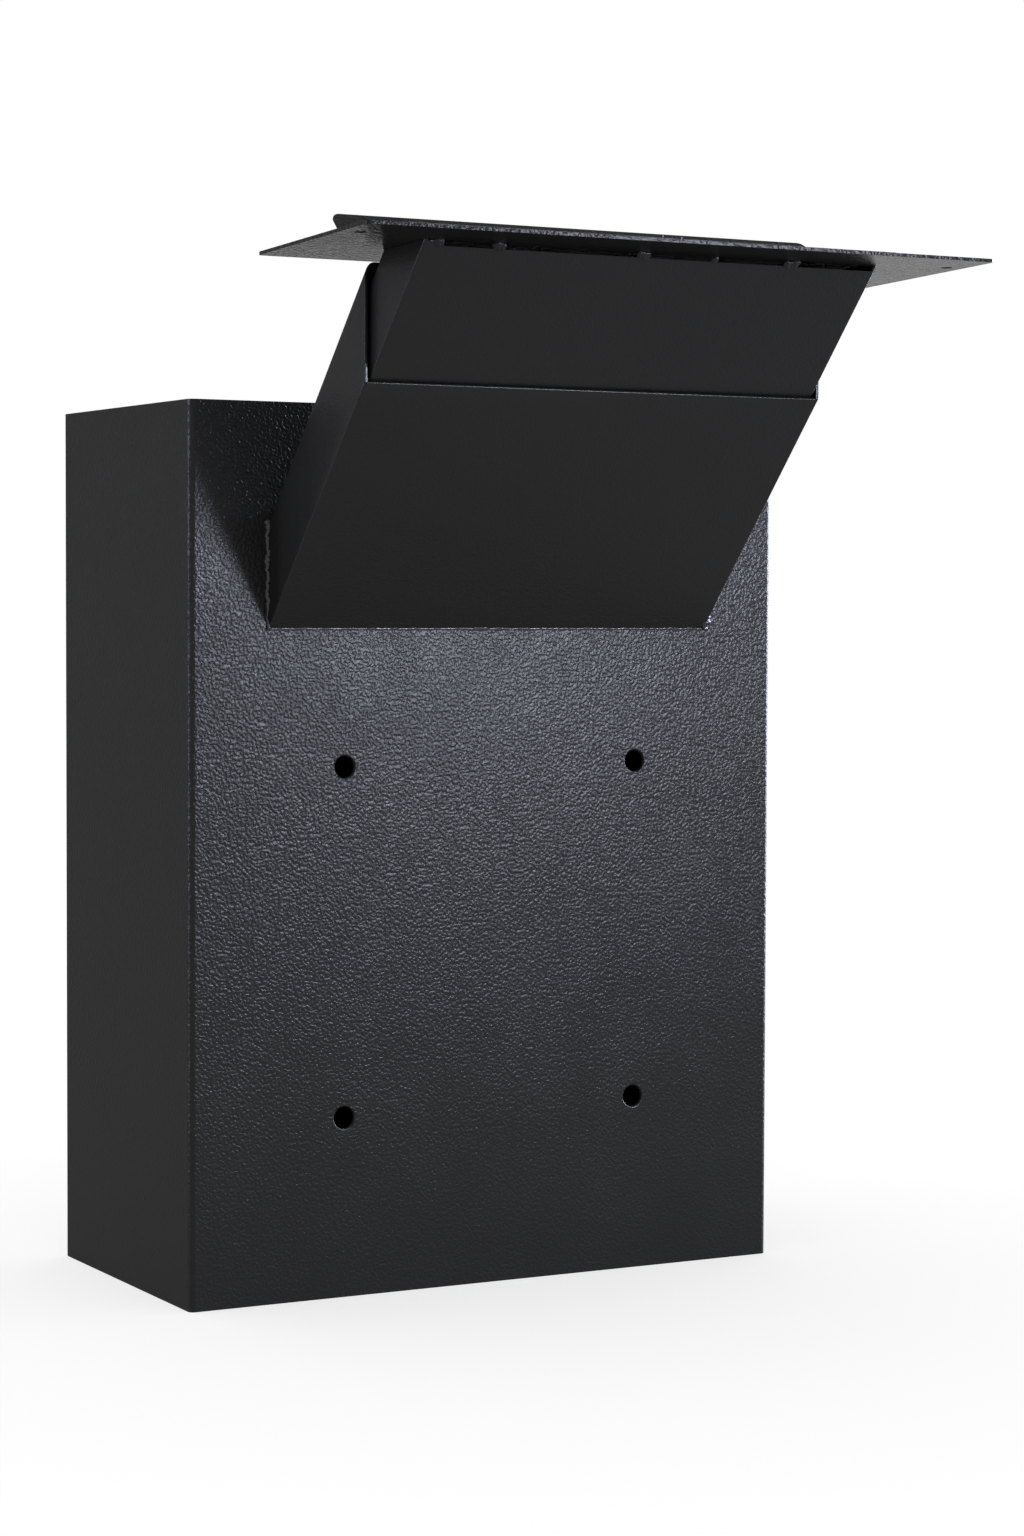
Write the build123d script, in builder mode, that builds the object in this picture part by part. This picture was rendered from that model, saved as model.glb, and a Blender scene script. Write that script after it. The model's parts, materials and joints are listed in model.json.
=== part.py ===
from build123d import *
from math import cos, radians, sin, tan
import os

os.makedirs("parts", exist_ok=True)

# Through-the-wall key drop box, in millimetres, +Z up. The origin is the centre of the four
# wall holes on the outer face of the back. +Y leaves the back and runs into the wall, the
# door faces -Y, and the telescoping chute climbs from the back towards +Y.

# Shell
box_width = 304.8
box_depth = 152.4
box_height = 406.4
shell_sheet = 2.0
shell_bend = 3.0  # outside radius of every fold in the shell
stile_width = 16.0  # frame around the door opening
frame_return = 16.0  # how far the frame folds back into the box

# Wall holes
hole_spacing_x = 152.4
hole_spacing_z = 160.0
hole_row_height = 82.4  # lower row above the base
wall_hole_radius = 5.0

# Door
door_sheet = 2.0
door_gap = 1.5
door_pan_depth = 13.0
stiffener_sheet = 1.2
stiffener_height = 9.0
stiffener_crown = 36.0
stiffener_flange = 12.0
stiffener_margin = 10.0
stop_sheet = 2.0
stop_length = 220.0
stop_reach = 10.0  # how far a stop shows inside the opening
bumper_radius = 4.0
bumper_spacing = 170.0
bumper_clearance = 0.05

# Piano hinge of the door
leaf_sheet = 1.0
leaf_gap = 0.3
leaf_inset = 1.0  # leaf stops this far short of the door's folded edge
hinge_length = 350.0
knuckle_count = 15
knuckle_radius = 2.8
knuckle_gap = 0.3
hinge_pin_radius = 1.4
pin_clearance = 0.05
hinge_stand_off = 1.8  # pin axis in front of the door's face
peened_head_radius = 2.1
peened_head_height = 0.8

# Cam lock
lock_edge_distance = 29.0  # lock axis from the edge of the opening
lock_head_radius = 11.0
lock_head_height = 2.5
barrel_radius = 9.5
barrel_flat = 8.0  # lock axis to each flat of the barrel
barrel_length = 16.0
barrel_clearance = 0.1
nut_across_flats = 24.0
nut_height = 3.0
washer_radius = 13.0
washer_sheet = 0.8
plug_radius = 6.5
plug_head_radius = 8.0
plug_head_height = 1.6
plug_recess = 0.2
plug_clearance = 0.05
keyway_width = 2.4
keyway_height = 8.4
keyway_depth = 14.0
wafer_count = 5
wafer_pitch = 2.1
wafer_first = 3.6  # first wafer behind the front of the plug
wafer_sheet = 0.8
wafer_width = 5.8
wafer_clearance = 0.1
tail_square = 7.0
cam_sheet = 2.2
cam_width = 16.0
cam_overlap = 8.0  # the locked cam passes the frame's folded edge by this much
cam_clearance = 0.3
screw_radius = 2.0
screw_length = 5.0
screw_head_radius = 5.0
screw_head_height = 2.4
screw_recess = 1.1
key_sheet = 2.0
key_blade_height = 7.6
key_blade_length = 13.5
key_bow_radius = 12.0
key_bow_neck = 15.0  # front of the plug to the middle of the bow
key_hole_radius = 3.0
key_shoulder = 0.4  # front of the plug to the key's shoulder
key_shoulder_height = 11.0
key_cuts = (1.2, 0.5, 1.6, 0.9, 1.4)

# Outer chute
chute_angle = 47.0
chute_width = 228.6
chute_rise = 50.8  # height of the chute where it leaves the back
chute_foot_height = 304.8  # underside of the chute above the base, at the back
chute_reach = 97.5  # back to mouth, level
chute_sheet = 1.5
chute_bend = 4.3
weld_side_leg = 3.2
weld_foot_leg = 2.6
weld_top_leg = 4.0

# Telescoping inner chute
telescope_gap = 1.5  # play on each side, with the inner chute in the middle
telescope_seat = 0.3  # running gap where the inner chute rests on the outer floor
inner_bend = 2.8
inner_start = 25.0  # lower end, along the chute from the back
plate_distance = 183.6  # underside of the face plate, along the chute from the back
stitch_gap = 2.2
stitch_proud = 0.6
stitch_places = (0.955, 0.69, 0.06, -0.262, -0.618)  # along half of the seam, from its middle
stitch_lengths = (7.0, 6.6, 6.8, 3.6, 8.2)

# Face plate
plate_to_chute_angle = 45.0
plate_width = 304.8
plate_depth = 104.0
plate_sheet = 1.5
plate_corner_radius = 1.5
plate_hole_radius = 2.5
plate_hole_side_inset = 8.5
plate_hole_front_inset = 23.5

# Flap over the slot
flap_sheet = 1.2
flap_width = 240.0
flap_lift = 0.3  # running gap between flap and plate
flap_hinge_offset = 23.0  # hinge axis from the middle of the plate
flap_knuckle_count = 9
flap_knuckle_radius = 2.2
flap_pin_radius = 1.1
flap_leaf_sheet = 0.9
flap_leaf_width = 12.0
flap_reach = 33.0  # middle of the plate to the fold of the lip
flap_lip_length = 23.4
flap_lip_angle = 45.0
flap_lip_corner = 4.0
flap_bend = 2.4

# Levels and planes that follow from the sizes above
base_z = -(hole_row_height + hole_spacing_z / 2)
top_z = base_z + box_height
middle_z = base_z + box_height / 2
front_y = -box_depth
opening_half = box_width / 2 - stile_width
sill_z = base_z + stile_width
lintel_z = top_z - stile_width
return_y = front_y + frame_return
overrun = 5.0  # extra length of a cutting tool past the face it leaves

door_hinge_gap = 2 * leaf_sheet + leaf_gap
door_left = -opening_half + door_hinge_gap
door_right = opening_half - door_gap
door_bottom = sill_z + door_gap
door_top = lintel_z - door_gap
door_back_y = front_y + door_pan_depth
door_skin_y = front_y + door_sheet

chute_axis_z = base_z + chute_foot_height + chute_rise / 2
chute_slope = radians(chute_angle)
chute_height = chute_rise * cos(chute_slope)
chute_axis = Vector(0, cos(chute_slope), sin(chute_slope))
chute_foot = Vector(0, 0, chute_axis_z)
chute_section = Plane(origin=chute_foot, x_dir=(-1, 0, 0), z_dir=chute_axis)
inner_width = chute_width - 2 * (chute_sheet + telescope_gap)
inner_height = chute_height - 2 * (chute_sheet + telescope_gap)
inner_drop = telescope_gap - telescope_seat
inner_foot = chute_foot - chute_section.y_dir * inner_drop
inner_section = Plane(origin=inner_foot, x_dir=(-1, 0, 0), z_dir=chute_axis)

plate_tilt = radians(chute_angle - plate_to_chute_angle)
plate_centre = chute_foot + chute_axis * plate_distance
plate_plane = Plane(origin=plate_centre, x_dir=(1, 0, 0), z_dir=(0, -sin(plate_tilt), cos(plate_tilt)))
slot_width = inner_width - 2 * chute_sheet
slot_depth = (inner_height - 2 * chute_sheet) / sin(radians(plate_to_chute_angle))
slot_shift = inner_drop / sin(radians(plate_to_chute_angle))
slot_edge = slot_shift + slot_depth / 2


def outline_of_channel(width, height, bend):
    """Outer line of a channel open at the bottom: up one side, across the top, down the other."""
    return FilletPolyline(
        (-width / 2, -height / 2),
        (-width / 2, height / 2),
        (width / 2, height / 2),
        (width / 2, -height / 2),
        radius=bend,
    )


# --- Shell wrap: back, two sides and the folded door stiles, one bent sheet ---
with BuildPart() as shell_wrap:
    with BuildSketch(Plane.XY.offset(base_z)):
        with BuildLine():
            FilletPolyline(
                (-opening_half, return_y),
                (-opening_half, front_y),
                (-box_width / 2, front_y),
                (-box_width / 2, 0),
                (box_width / 2, 0),
                (box_width / 2, front_y),
                (opening_half, front_y),
                (opening_half, return_y),
                radius=shell_bend,
            )
            offset(amount=shell_sheet, side=Side.RIGHT)
        make_face()
    extrude(amount=box_height)
    # four wall holes
    with BuildSketch(Plane.XZ.offset(-overrun)):
        with GridLocations(hole_spacing_x, hole_spacing_z, 2, 2):
            Circle(wall_hole_radius)
    extrude(amount=overrun + shell_sheet + overrun, mode=Mode.SUBTRACT)
    # opening into the chute
    with BuildSketch(Plane.XZ.offset(-overrun)):
        with Locations((0, chute_axis_z)):
            Rectangle(chute_width - 2 * chute_sheet, chute_rise - 2 * chute_sheet / cos(chute_slope))
    extrude(amount=overrun + shell_sheet + overrun, mode=Mode.SUBTRACT)
shell_wrap.part.label = "shell_wrap"
export_step(shell_wrap.part, "parts/shell_wrap.step")

# --- Top panel: flat sheet let into the wrap, folded down and back over the door opening ---
with BuildPart() as top_panel:
    with BuildSketch(Plane.YZ.offset(-opening_half)):
        with BuildLine():
            FilletPolyline(
                (-shell_sheet, top_z),
                (front_y, top_z),
                (front_y, lintel_z),
                (return_y, lintel_z),
                radius=shell_bend,
            )
            offset(amount=shell_sheet, side=Side.LEFT)
        make_face()
    extrude(amount=2 * opening_half)
    with Locations((0, -box_depth / 2, top_z - shell_sheet / 2)):
        Box(box_width - 2 * shell_sheet, box_depth - 2 * shell_sheet, shell_sheet)
    add(shell_wrap.part, mode=Mode.SUBTRACT)
top_panel.part.label = "top_panel"
export_step(top_panel.part, "parts/top_panel.step")

# --- Bottom panel: the same pressing turned over ---
with BuildPart() as bottom_panel:
    mirror(top_panel.part, about=Plane.XY.offset(middle_z))
bottom_panel.part.label = "bottom_panel"
export_step(bottom_panel.part, "parts/bottom_panel.step")

# --- Door stops: two flat bars welded behind the frame, above and below the door ---
stop_z = (lintel_z + shell_sheet + lintel_z - stop_reach) / 2
with BuildPart() as door_stops:
    with Locations((0, return_y + stop_sheet / 2, stop_z)):
        Box(stop_length, stop_sheet, shell_sheet + stop_reach)
    fillet(door_stops.edges().filter_by(Axis.Y).group_by(Axis.Z)[0], radius=stop_sheet)
    mirror(about=Plane.XY.offset(middle_z))
door_stops.part.label = "door_stops"
export_step(door_stops.part, "parts/door_stops.step")

# --- Rubber bumpers on the stops, under the door's folded edge ---
bumper_height = return_y - door_back_y - bumper_clearance
bumper_z = door_top + door_gap / 2 - bumper_radius
with BuildPart() as door_bumpers:
    with BuildSketch(Plane.XZ.offset(-return_y)):
        with Locations((0, middle_z)):
            with GridLocations(bumper_spacing, 2 * (bumper_z - middle_z), 2, 2):
                Circle(bumper_radius)
    extrude(amount=bumper_height)
    fillet(door_bumpers.faces().sort_by(Axis.Y)[0:4].edges(), radius=bumper_height / 4)
door_bumpers.part.label = "door_bumpers"
export_step(door_bumpers.part, "parts/door_bumpers.step")

# --- Piano hinge: one leaf on the stile, one on the door, knuckles taking turns ---
hinge_x = -opening_half + door_hinge_gap / 2
hinge_y = front_y - hinge_stand_off
knuckle_pitch = hinge_length / knuckle_count
leaf_front_y = hinge_y + knuckle_radius + knuckle_gap
leaf_back_y = door_back_y - leaf_inset
tab_front_y = hinge_y + (hinge_pin_radius + knuckle_radius) / 2


def hinge_leaf(side, first):
    """Leaf of the piano hinge: side -1 lies on the stile and +1 on the door, first is its first knuckle."""
    sheet_x = hinge_x + side * (leaf_gap + leaf_sheet) / 2
    with BuildPart() as leaf:
        with Locations((sheet_x, (leaf_front_y + leaf_back_y) / 2, middle_z)):
            Box(leaf_sheet, leaf_back_y - leaf_front_y, hinge_length)
        for number in range(first, knuckle_count, 2):
            knuckle_z = middle_z + (number - (knuckle_count - 1) / 2) * knuckle_pitch
            with Locations((hinge_x, hinge_y, knuckle_z)):
                Cylinder(knuckle_radius, knuckle_pitch - knuckle_gap)
            with Locations((sheet_x, (tab_front_y + leaf_front_y) / 2, knuckle_z)):
                Box(leaf_sheet, leaf_front_y - tab_front_y, knuckle_pitch - knuckle_gap)
        with Locations((hinge_x, hinge_y, middle_z)):
            Cylinder(hinge_pin_radius + pin_clearance, hinge_length + overrun, mode=Mode.SUBTRACT)
    return leaf.part


with BuildPart() as frame_hinge_leaf:
    add(hinge_leaf(-1, 0))
frame_hinge_leaf.part.label = "frame_hinge_leaf"
export_step(frame_hinge_leaf.part, "parts/frame_hinge_leaf.step")

with BuildPart() as door_hinge_leaf:
    add(hinge_leaf(1, 1))
door_hinge_leaf.part.label = "door_hinge_leaf"
export_step(door_hinge_leaf.part, "parts/door_hinge_leaf.step")

# --- Hinge pin with peened ends ---
pin_top_z = middle_z + (hinge_length - knuckle_gap) / 2
with BuildPart() as door_hinge_pin:
    with Locations((hinge_x, hinge_y, middle_z)):
        Cylinder(hinge_pin_radius, hinge_length - knuckle_gap)
    with Locations((hinge_x, hinge_y, pin_top_z + peened_head_height / 2)):
        Cylinder(peened_head_radius, peened_head_height)
    mirror(about=Plane.XY.offset(middle_z))
door_hinge_pin.part.label = "door_hinge_pin"
export_step(door_hinge_pin.part, "parts/door_hinge_pin.step")

# --- Door: shallow pan, open at the back, with the keyed hole for the lock ---
lock_x = opening_half - lock_edge_distance
lock_axis = Plane(origin=(lock_x, front_y, middle_z), x_dir=(1, 0, 0), z_dir=(0, -1, 0))
with BuildPart() as door_panel:
    with Locations(((door_left + door_right) / 2, (front_y + door_back_y) / 2, middle_z)):
        Box(door_right - door_left, door_pan_depth, door_top - door_bottom)
    fillet(door_panel.faces().sort_by(Axis.Y)[0].edges(), radius=shell_bend)
    offset(amount=-door_sheet, openings=door_panel.faces().sort_by(Axis.Y)[-1])
    with BuildSketch(lock_axis.offset(overrun)):
        Circle(barrel_radius + barrel_clearance)
        Rectangle(2 * (barrel_flat + barrel_clearance), 3 * barrel_radius, mode=Mode.INTERSECT)
    extrude(amount=-(2 * overrun + door_sheet), mode=Mode.SUBTRACT)
door_panel.part.label = "door_panel"
export_step(door_panel.part, "parts/door_panel.step")

# --- Door stiffener: hat channel spot-welded down the middle of the door ---
stiffener_half = stiffener_crown / 2 + stiffener_flange
with BuildPart() as door_stiffener:
    with BuildSketch(Plane.XY.offset(door_bottom + door_sheet + stiffener_margin)):
        with BuildLine():
            FilletPolyline(
                (-stiffener_half, door_skin_y),
                (-stiffener_crown / 2, door_skin_y),
                (-stiffener_crown / 2, door_skin_y + stiffener_height),
                (stiffener_crown / 2, door_skin_y + stiffener_height),
                (stiffener_crown / 2, door_skin_y),
                (stiffener_half, door_skin_y),
                radius=2 * stiffener_sheet,
            )
            offset(amount=stiffener_sheet, side=Side.LEFT)
        make_face()
    extrude(amount=door_top - door_bottom - 2 * (door_sheet + stiffener_margin))
door_stiffener.part.label = "door_stiffener"
export_step(door_stiffener.part, "parts/door_stiffener.step")

# --- Lock barrel: head, flatted body, bore for the plug ---
with BuildPart() as lock_barrel:
    with BuildSketch(lock_axis):
        Circle(lock_head_radius)
    extrude(amount=lock_head_height)
    fillet(lock_barrel.faces().sort_by(Axis.Y)[0].edges(), radius=lock_head_height / 2)
    with BuildSketch(lock_axis):
        Circle(barrel_radius)
        Rectangle(2 * barrel_flat, 3 * barrel_radius, mode=Mode.INTERSECT)
    extrude(amount=-barrel_length)
    with BuildSketch(lock_axis.offset(lock_head_height)):
        Circle(plug_head_radius + plug_clearance)
    extrude(amount=-(plug_recess + plug_head_height + plug_clearance), mode=Mode.SUBTRACT)
    with BuildSketch(lock_axis.offset(lock_head_height)):
        Circle(plug_radius + plug_clearance)
    extrude(amount=-(lock_head_height + barrel_length), mode=Mode.SUBTRACT)
lock_barrel.part.label = "lock_barrel"
export_step(lock_barrel.part, "parts/lock_barrel.step")

# --- Lock washer and nut behind the door's skin ---
with BuildPart() as lock_washer:
    with BuildSketch(lock_axis.offset(-door_sheet)):
        Circle(washer_radius)
        Circle(barrel_radius + barrel_clearance, mode=Mode.SUBTRACT)
    extrude(amount=-washer_sheet)
lock_washer.part.label = "lock_washer"
export_step(lock_washer.part, "parts/lock_washer.step")

with BuildPart() as lock_nut:
    with BuildSketch(lock_axis.offset(-(door_sheet + washer_sheet))):
        RegularPolygon(nut_across_flats / 2, 6, major_radius=False)
        Circle(barrel_radius + pin_clearance, mode=Mode.SUBTRACT)
    extrude(amount=-nut_height)
    chamfer(lock_nut.edges().filter_by(Axis.Y).group_by(Axis.X)[0], length=nut_height / 10)
lock_nut.part.label = "lock_nut"
export_step(lock_nut.part, "parts/lock_nut.step")

# --- Lock plug: head, cylinder with keyway and wafer slots, square tail ---
plug_front = lock_head_height - plug_recess
wafer_places = [plug_front - wafer_first - number * wafer_pitch for number in range(wafer_count)]
wafer_slot_width = wafer_width + 2 * wafer_clearance
wafer_slot_sheet = wafer_sheet + 2 * wafer_clearance
with BuildPart() as lock_plug:
    with BuildSketch(lock_axis.offset(plug_front)):
        Circle(plug_head_radius)
    extrude(amount=-plug_head_height)
    with BuildSketch(lock_axis.offset(plug_front)):
        Circle(plug_radius)
    extrude(amount=-(plug_front + barrel_length))
    with BuildSketch(lock_axis.offset(-barrel_length)):
        Rectangle(tail_square, tail_square)
    extrude(amount=-(cam_clearance + cam_sheet))
    with BuildSketch(lock_axis.offset(plug_front)):
        Rectangle(keyway_width, keyway_height)
    extrude(amount=-keyway_depth, mode=Mode.SUBTRACT)
    for place in wafer_places:
        with BuildSketch(lock_axis.offset(place + wafer_clearance)):
            Rectangle(wafer_slot_width, 3 * plug_radius)
        extrude(amount=-wafer_slot_sheet, mode=Mode.SUBTRACT)
    with BuildSketch(lock_axis.offset(-(barrel_length + cam_clearance + cam_sheet))):
        Circle(screw_radius + pin_clearance)
    extrude(amount=screw_length + pin_clearance, mode=Mode.SUBTRACT)
lock_plug.part.label = "lock_plug"
export_step(lock_plug.part, "parts/lock_plug.step")

# --- Lock wafers: thin plates across the plug, lifted flush by the key ---
wafer_window = (key_sheet + 2 * wafer_clearance, key_blade_height + 2 * wafer_clearance)
with BuildPart() as lock_wafers:
    for place in wafer_places:
        with BuildSketch(lock_axis.offset(place)):
            Circle(plug_radius - wafer_clearance)
            Rectangle(wafer_width, 3 * plug_radius, mode=Mode.INTERSECT)
            Rectangle(*wafer_window, mode=Mode.SUBTRACT)
        extrude(amount=-wafer_sheet)
lock_wafers.part.label = "lock_wafers"
export_step(lock_wafers.part, "parts/lock_wafers.step")

# --- Lock cam: flat bar on the tail, hanging down when unlocked ---
cam_plane = lock_axis.offset(-(barrel_length + cam_clearance))
cam_length = lock_edge_distance + cam_overlap
with BuildPart() as lock_cam:
    with BuildSketch(cam_plane) as cam_outline:
        with Locations((0, -cam_length / 2)):
            Rectangle(cam_width, cam_length)
        fillet(cam_outline.vertices().group_by(Axis.Y)[0], radius=cam_width / 4)
        Circle(cam_width / 2)
        Rectangle(tail_square + 2 * pin_clearance, tail_square + 2 * pin_clearance, mode=Mode.SUBTRACT)
    extrude(amount=-cam_sheet)
lock_cam.part.label = "lock_cam"
export_step(lock_cam.part, "parts/lock_cam.step")

# --- Cam screw: pan head on the tail, with a cross recess ---
tail_plane = lock_axis.offset(-(barrel_length + cam_clearance + cam_sheet))
with BuildPart() as cam_screw:
    with BuildSketch(tail_plane):
        Circle(screw_head_radius)
    extrude(amount=-screw_head_height)
    fillet(cam_screw.faces().sort_by(Axis.Y)[-1].edges(), radius=screw_head_height / 2)
    with BuildSketch(tail_plane):
        Circle(screw_radius)
    extrude(amount=screw_length)
    with BuildSketch(tail_plane.offset(-screw_head_height)):
        Rectangle(screw_head_radius, screw_recess)
        Rectangle(screw_recess, screw_head_radius)
    extrude(amount=screw_recess, mode=Mode.SUBTRACT)
cam_screw.part.label = "cam_screw"
export_step(cam_screw.part, "parts/cam_screw.step")

# --- Key: cut blade in the keyway, shoulder against the plug, round bow with a hole ---
key_plane = Plane(origin=(lock_x, front_y - plug_front, middle_z), x_dir=(0, -1, 0), z_dir=(1, 0, 0))
with BuildPart() as lock_key:
    with BuildSketch(key_plane.offset(-key_sheet / 2)) as key_outline:
        with Locations(((key_bow_neck - key_blade_length) / 2, 0)):
            Rectangle(key_bow_neck + key_blade_length, key_blade_height)
        chamfer(key_outline.vertices().group_by(Axis.X)[0], length=key_blade_height / 4)
        with Locations((key_bow_neck, 0)):
            Circle(key_bow_radius)
        with Locations((key_bow_neck + key_bow_radius - 2 * key_hole_radius, 0)):
            Circle(key_hole_radius, mode=Mode.SUBTRACT)
        with Locations(((key_shoulder + key_bow_neck) / 2, 0)):
            Rectangle(key_bow_neck - key_shoulder, key_shoulder_height)
        for place, cut in zip(wafer_places, key_cuts):
            with Locations((place - wafer_sheet / 2 - plug_front, key_blade_height / 2)):
                RegularPolygon(cut, 4, mode=Mode.SUBTRACT)
    extrude(amount=key_sheet)
lock_key.part.label = "lock_key"
export_step(lock_key.part, "parts/lock_key.step")


def channel(section, width, height, bend, low, high):
    """Bent channel of a chute, open below, from low to high along the chute."""
    with BuildPart() as bent:
        with BuildSketch(section.offset(low)):
            with BuildLine():
                outline_of_channel(width, height, bend)
                offset(amount=chute_sheet, side=Side.RIGHT)
            make_face()
        extrude(amount=high - low)
    return bent.part


def floor_strip(section, width, height, low, high):
    """Flat floor of a chute, set between the walls of its channel."""
    with BuildPart() as strip:
        with BuildSketch(section.offset(low)):
            with Locations((0, (chute_sheet - height) / 2)):
                Rectangle(width - 2 * chute_sheet, chute_sheet)
        extrude(amount=high - low)
    return strip.part


# --- Outer chute: channel and floor, cut upright at the back and at the mouth ---
back_cut = Plane(origin=(0, 0, 0), z_dir=(0, 1, 0))
mouth_cut = Plane(origin=(0, chute_reach, 0), z_dir=(0, -1, 0))
chute_low = -chute_height
chute_high = chute_reach / cos(chute_slope) + chute_height
with BuildPart() as outer_chute_channel:
    add(channel(chute_section, chute_width, chute_height, chute_bend, chute_low, chute_high))
    split(bisect_by=back_cut, keep=Keep.TOP)
    split(bisect_by=mouth_cut, keep=Keep.TOP)
outer_chute_channel.part.label = "outer_chute_channel"
export_step(outer_chute_channel.part, "parts/outer_chute_channel.step")

with BuildPart() as outer_chute_floor:
    add(floor_strip(chute_section, chute_width, chute_height, chute_low, chute_high))
    split(bisect_by=back_cut, keep=Keep.TOP)
    split(bisect_by=mouth_cut, keep=Keep.TOP)
outer_chute_floor.part.label = "outer_chute_floor"
export_step(outer_chute_floor.part, "parts/outer_chute_floor.step")

# --- Weld beads around the foot of the outer chute ---
foot_low_z = chute_axis_z - chute_rise / 2
foot_top_z = chute_axis_z + chute_rise / 2
slope_y = cos(chute_slope)
slope_z = sin(chute_slope)
with BuildPart() as chute_welds:
    # below the floor: the bead joins the back to the underside of the chute
    with BuildSketch(Plane.YZ.offset(-chute_width / 2)):
        Polygon(
            (0, foot_low_z),
            (0, foot_low_z - weld_foot_leg),
            (weld_foot_leg * slope_y, foot_low_z + weld_foot_leg * slope_z),
            align=None,
        )
    extrude(amount=chute_width)
    # above the channel, in the narrow angle between the chute and the back
    with BuildSketch(Plane.YZ.offset(chute_bend - chute_width / 2)):
        Polygon(
            (0, foot_top_z),
            (weld_top_leg * slope_y, foot_top_z + weld_top_leg * slope_z),
            (0, foot_top_z + weld_top_leg),
            align=None,
        )
    extrude(amount=chute_width - 2 * chute_bend)
    # beside the two walls
    with BuildSketch(Plane.XY.offset(foot_low_z + weld_side_leg * tan(chute_slope))):
        Polygon(
            (chute_width / 2, 0),
            (chute_width / 2 + weld_side_leg, 0),
            (chute_width / 2, weld_side_leg),
            align=None,
        )
    extrude(amount=chute_rise - weld_side_leg * tan(chute_slope) - chute_bend)
    mirror(about=Plane.YZ)
chute_welds.part.label = "chute_welds"
export_step(chute_welds.part, "parts/chute_welds.step")

# --- Inner chute: channel and floor, square at the lower end, mitred under the face plate ---
plate_cut = Plane(origin=plate_centre, z_dir=-plate_plane.z_dir)
stitch_cut = plate_cut.offset(stitch_gap)
inner_high = plate_distance + inner_height
with BuildPart() as inner_chute_channel:
    add(channel(inner_section, inner_width, inner_height, inner_bend, inner_start, inner_high))
    split(bisect_by=plate_cut, keep=Keep.TOP)
inner_chute_channel.part.label = "inner_chute_channel"
export_step(inner_chute_channel.part, "parts/inner_chute_channel.step")

with BuildPart() as inner_chute_floor:
    add(floor_strip(inner_section, inner_width, inner_height, inner_start, inner_high))
    split(bisect_by=stitch_cut, keep=Keep.TOP)
inner_chute_floor.part.label = "inner_chute_floor"
export_step(inner_chute_floor.part, "parts/inner_chute_floor.step")

# --- Stitch welds: short beads that bridge the gap between the inner floor and the plate ---
mitre = tan(radians(plate_to_chute_angle))
floor_edge_depth = chute_sheet / sin(radians(plate_to_chute_angle))
seam_half = slot_width / 2
with BuildPart() as stitch_welds:
    for place, length in zip(stitch_places, stitch_lengths):
        side_plane = Plane(origin=plate_centre, x_dir=plate_plane.y_dir, z_dir=(1, 0, 0))
        with BuildSketch(side_plane.offset(place * seam_half - length / 2)):
            Polygon(
                (slot_edge, 0),
                (slot_edge - stitch_gap / mitre, -stitch_gap),
                (slot_edge - stitch_gap / mitre + floor_edge_depth, -stitch_gap),
                (slot_edge + floor_edge_depth + stitch_proud, 0),
                align=None,
            )
        extrude(amount=length)
stitch_welds.part.label = "stitch_welds"
export_step(stitch_welds.part, "parts/stitch_welds.step")

# --- Face plate with the slot and two screw holes ---
with BuildPart() as face_plate:
    with BuildSketch(plate_plane):
        RectangleRounded(plate_width, plate_depth, plate_corner_radius)
        with Locations((0, slot_shift)):
            Rectangle(slot_width, slot_depth, mode=Mode.SUBTRACT)
        with Locations((0, plate_depth / 2 - plate_hole_front_inset)):
            with GridLocations(plate_width - 2 * plate_hole_side_inset, 1, 2, 1):
                Circle(plate_hole_radius, mode=Mode.SUBTRACT)
    extrude(amount=plate_sheet)
face_plate.part.label = "face_plate"
export_step(face_plate.part, "parts/face_plate.step")

# --- Flap hinge: knuckles curled on a leaf on the plate and on the flap, with one pin ---
flap_axis_height = plate_sheet + flap_knuckle_radius + flap_lift
flap_side = Plane(origin=plate_centre, x_dir=plate_plane.y_dir, z_dir=(1, 0, 0))
flap_pitch = flap_width / flap_knuckle_count
flap_bore = flap_pin_radius + pin_clearance


def flap_knuckles(first):
    """Every other knuckle of the flap hinge, from knuckle number first, without the bore."""
    with BuildPart() as knuckles:
        for number in range(first, flap_knuckle_count, 2):
            start_x = (number - flap_knuckle_count / 2) * flap_pitch + knuckle_gap / 2
            with BuildSketch(flap_side.offset(start_x)):
                with Locations((flap_hinge_offset, flap_axis_height)):
                    Circle(flap_knuckle_radius)
            extrude(amount=flap_pitch - knuckle_gap)
    return knuckles.part


def flap_tabs(first, far_edge, low, high):
    """Sheet tabs from the knuckles to the line far_edge, between the heights low and high over the plate."""
    with BuildPart() as tabs:
        for number in range(first, flap_knuckle_count, 2):
            start_x = (number - flap_knuckle_count / 2) * flap_pitch + knuckle_gap / 2
            with BuildSketch(flap_side.offset(start_x)):
                with Locations(((flap_hinge_offset + far_edge) / 2, (low + high) / 2)):
                    Rectangle(abs(far_edge - flap_hinge_offset), high - low)
            extrude(amount=flap_pitch - knuckle_gap)
    return tabs.part


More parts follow.
